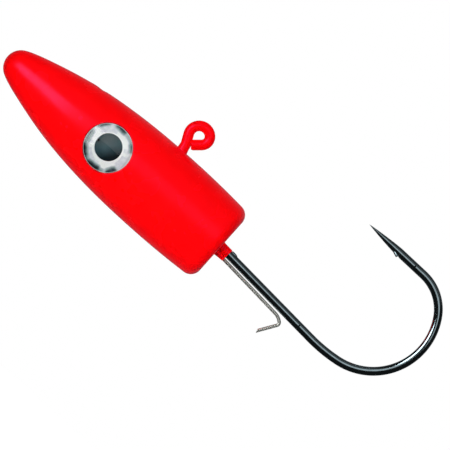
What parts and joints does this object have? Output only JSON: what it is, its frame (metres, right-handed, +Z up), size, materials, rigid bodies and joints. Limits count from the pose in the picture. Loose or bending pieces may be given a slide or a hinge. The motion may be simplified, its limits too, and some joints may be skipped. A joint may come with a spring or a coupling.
{
  "type": "jig head",
  "caption": "Bullet-shaped painted lead jig head cast on a right-angle barbed hook, with domed eyes and a sprung wire keeper that holds a soft bait.",
  "frame": {"origin": "centre of the line eye, where the fishing line holds the jig", "axes": "+X along the head's axis from its nose towards the hook, +Z up as fished (line eye and hook point on that side), +Y across; the XZ plane is the plane of symmetry and the lure's left side is at -Y"},
  "size_m": [0.1018, 0.0184, 0.033],
  "materials": {
    "lead": "satin",
    "paint": "gloss",
    "black_nickel": "polished",
    "spring_wire": "polished",
    "adhesive": "matte",
    "foil": "gloss",
    "pupil_ink": "gloss",
    "clear_dome": "gloss"
  },
  "bodies": {
    "head": {"lead_head": "lead", "paint_coat": "paint", "hook": "black_nickel", "keeper_anchor": "spring_wire", "left_eye_adhesive": "adhesive", "left_eye_foil": "foil", "left_eye_pupil": "pupil_ink", "left_eye_dome": "clear_dome", "right_eye_adhesive": "adhesive", "right_eye_foil": "foil", "right_eye_pupil": "pupil_ink", "right_eye_dome": "clear_dome"},
    "keeper": {"keeper_leg": "spring_wire"}
  },
  "joints": [
    {"name": "keeper_flex", "type": "hinge", "parent": "head", "child": "keeper", "pos_m": [0.02003, 0, -0.01505], "axis": [0, 1, 0], "range_deg": [-1.1, 6.8], "stiffness_Nm_per_rad": 0.45}
  ]
}
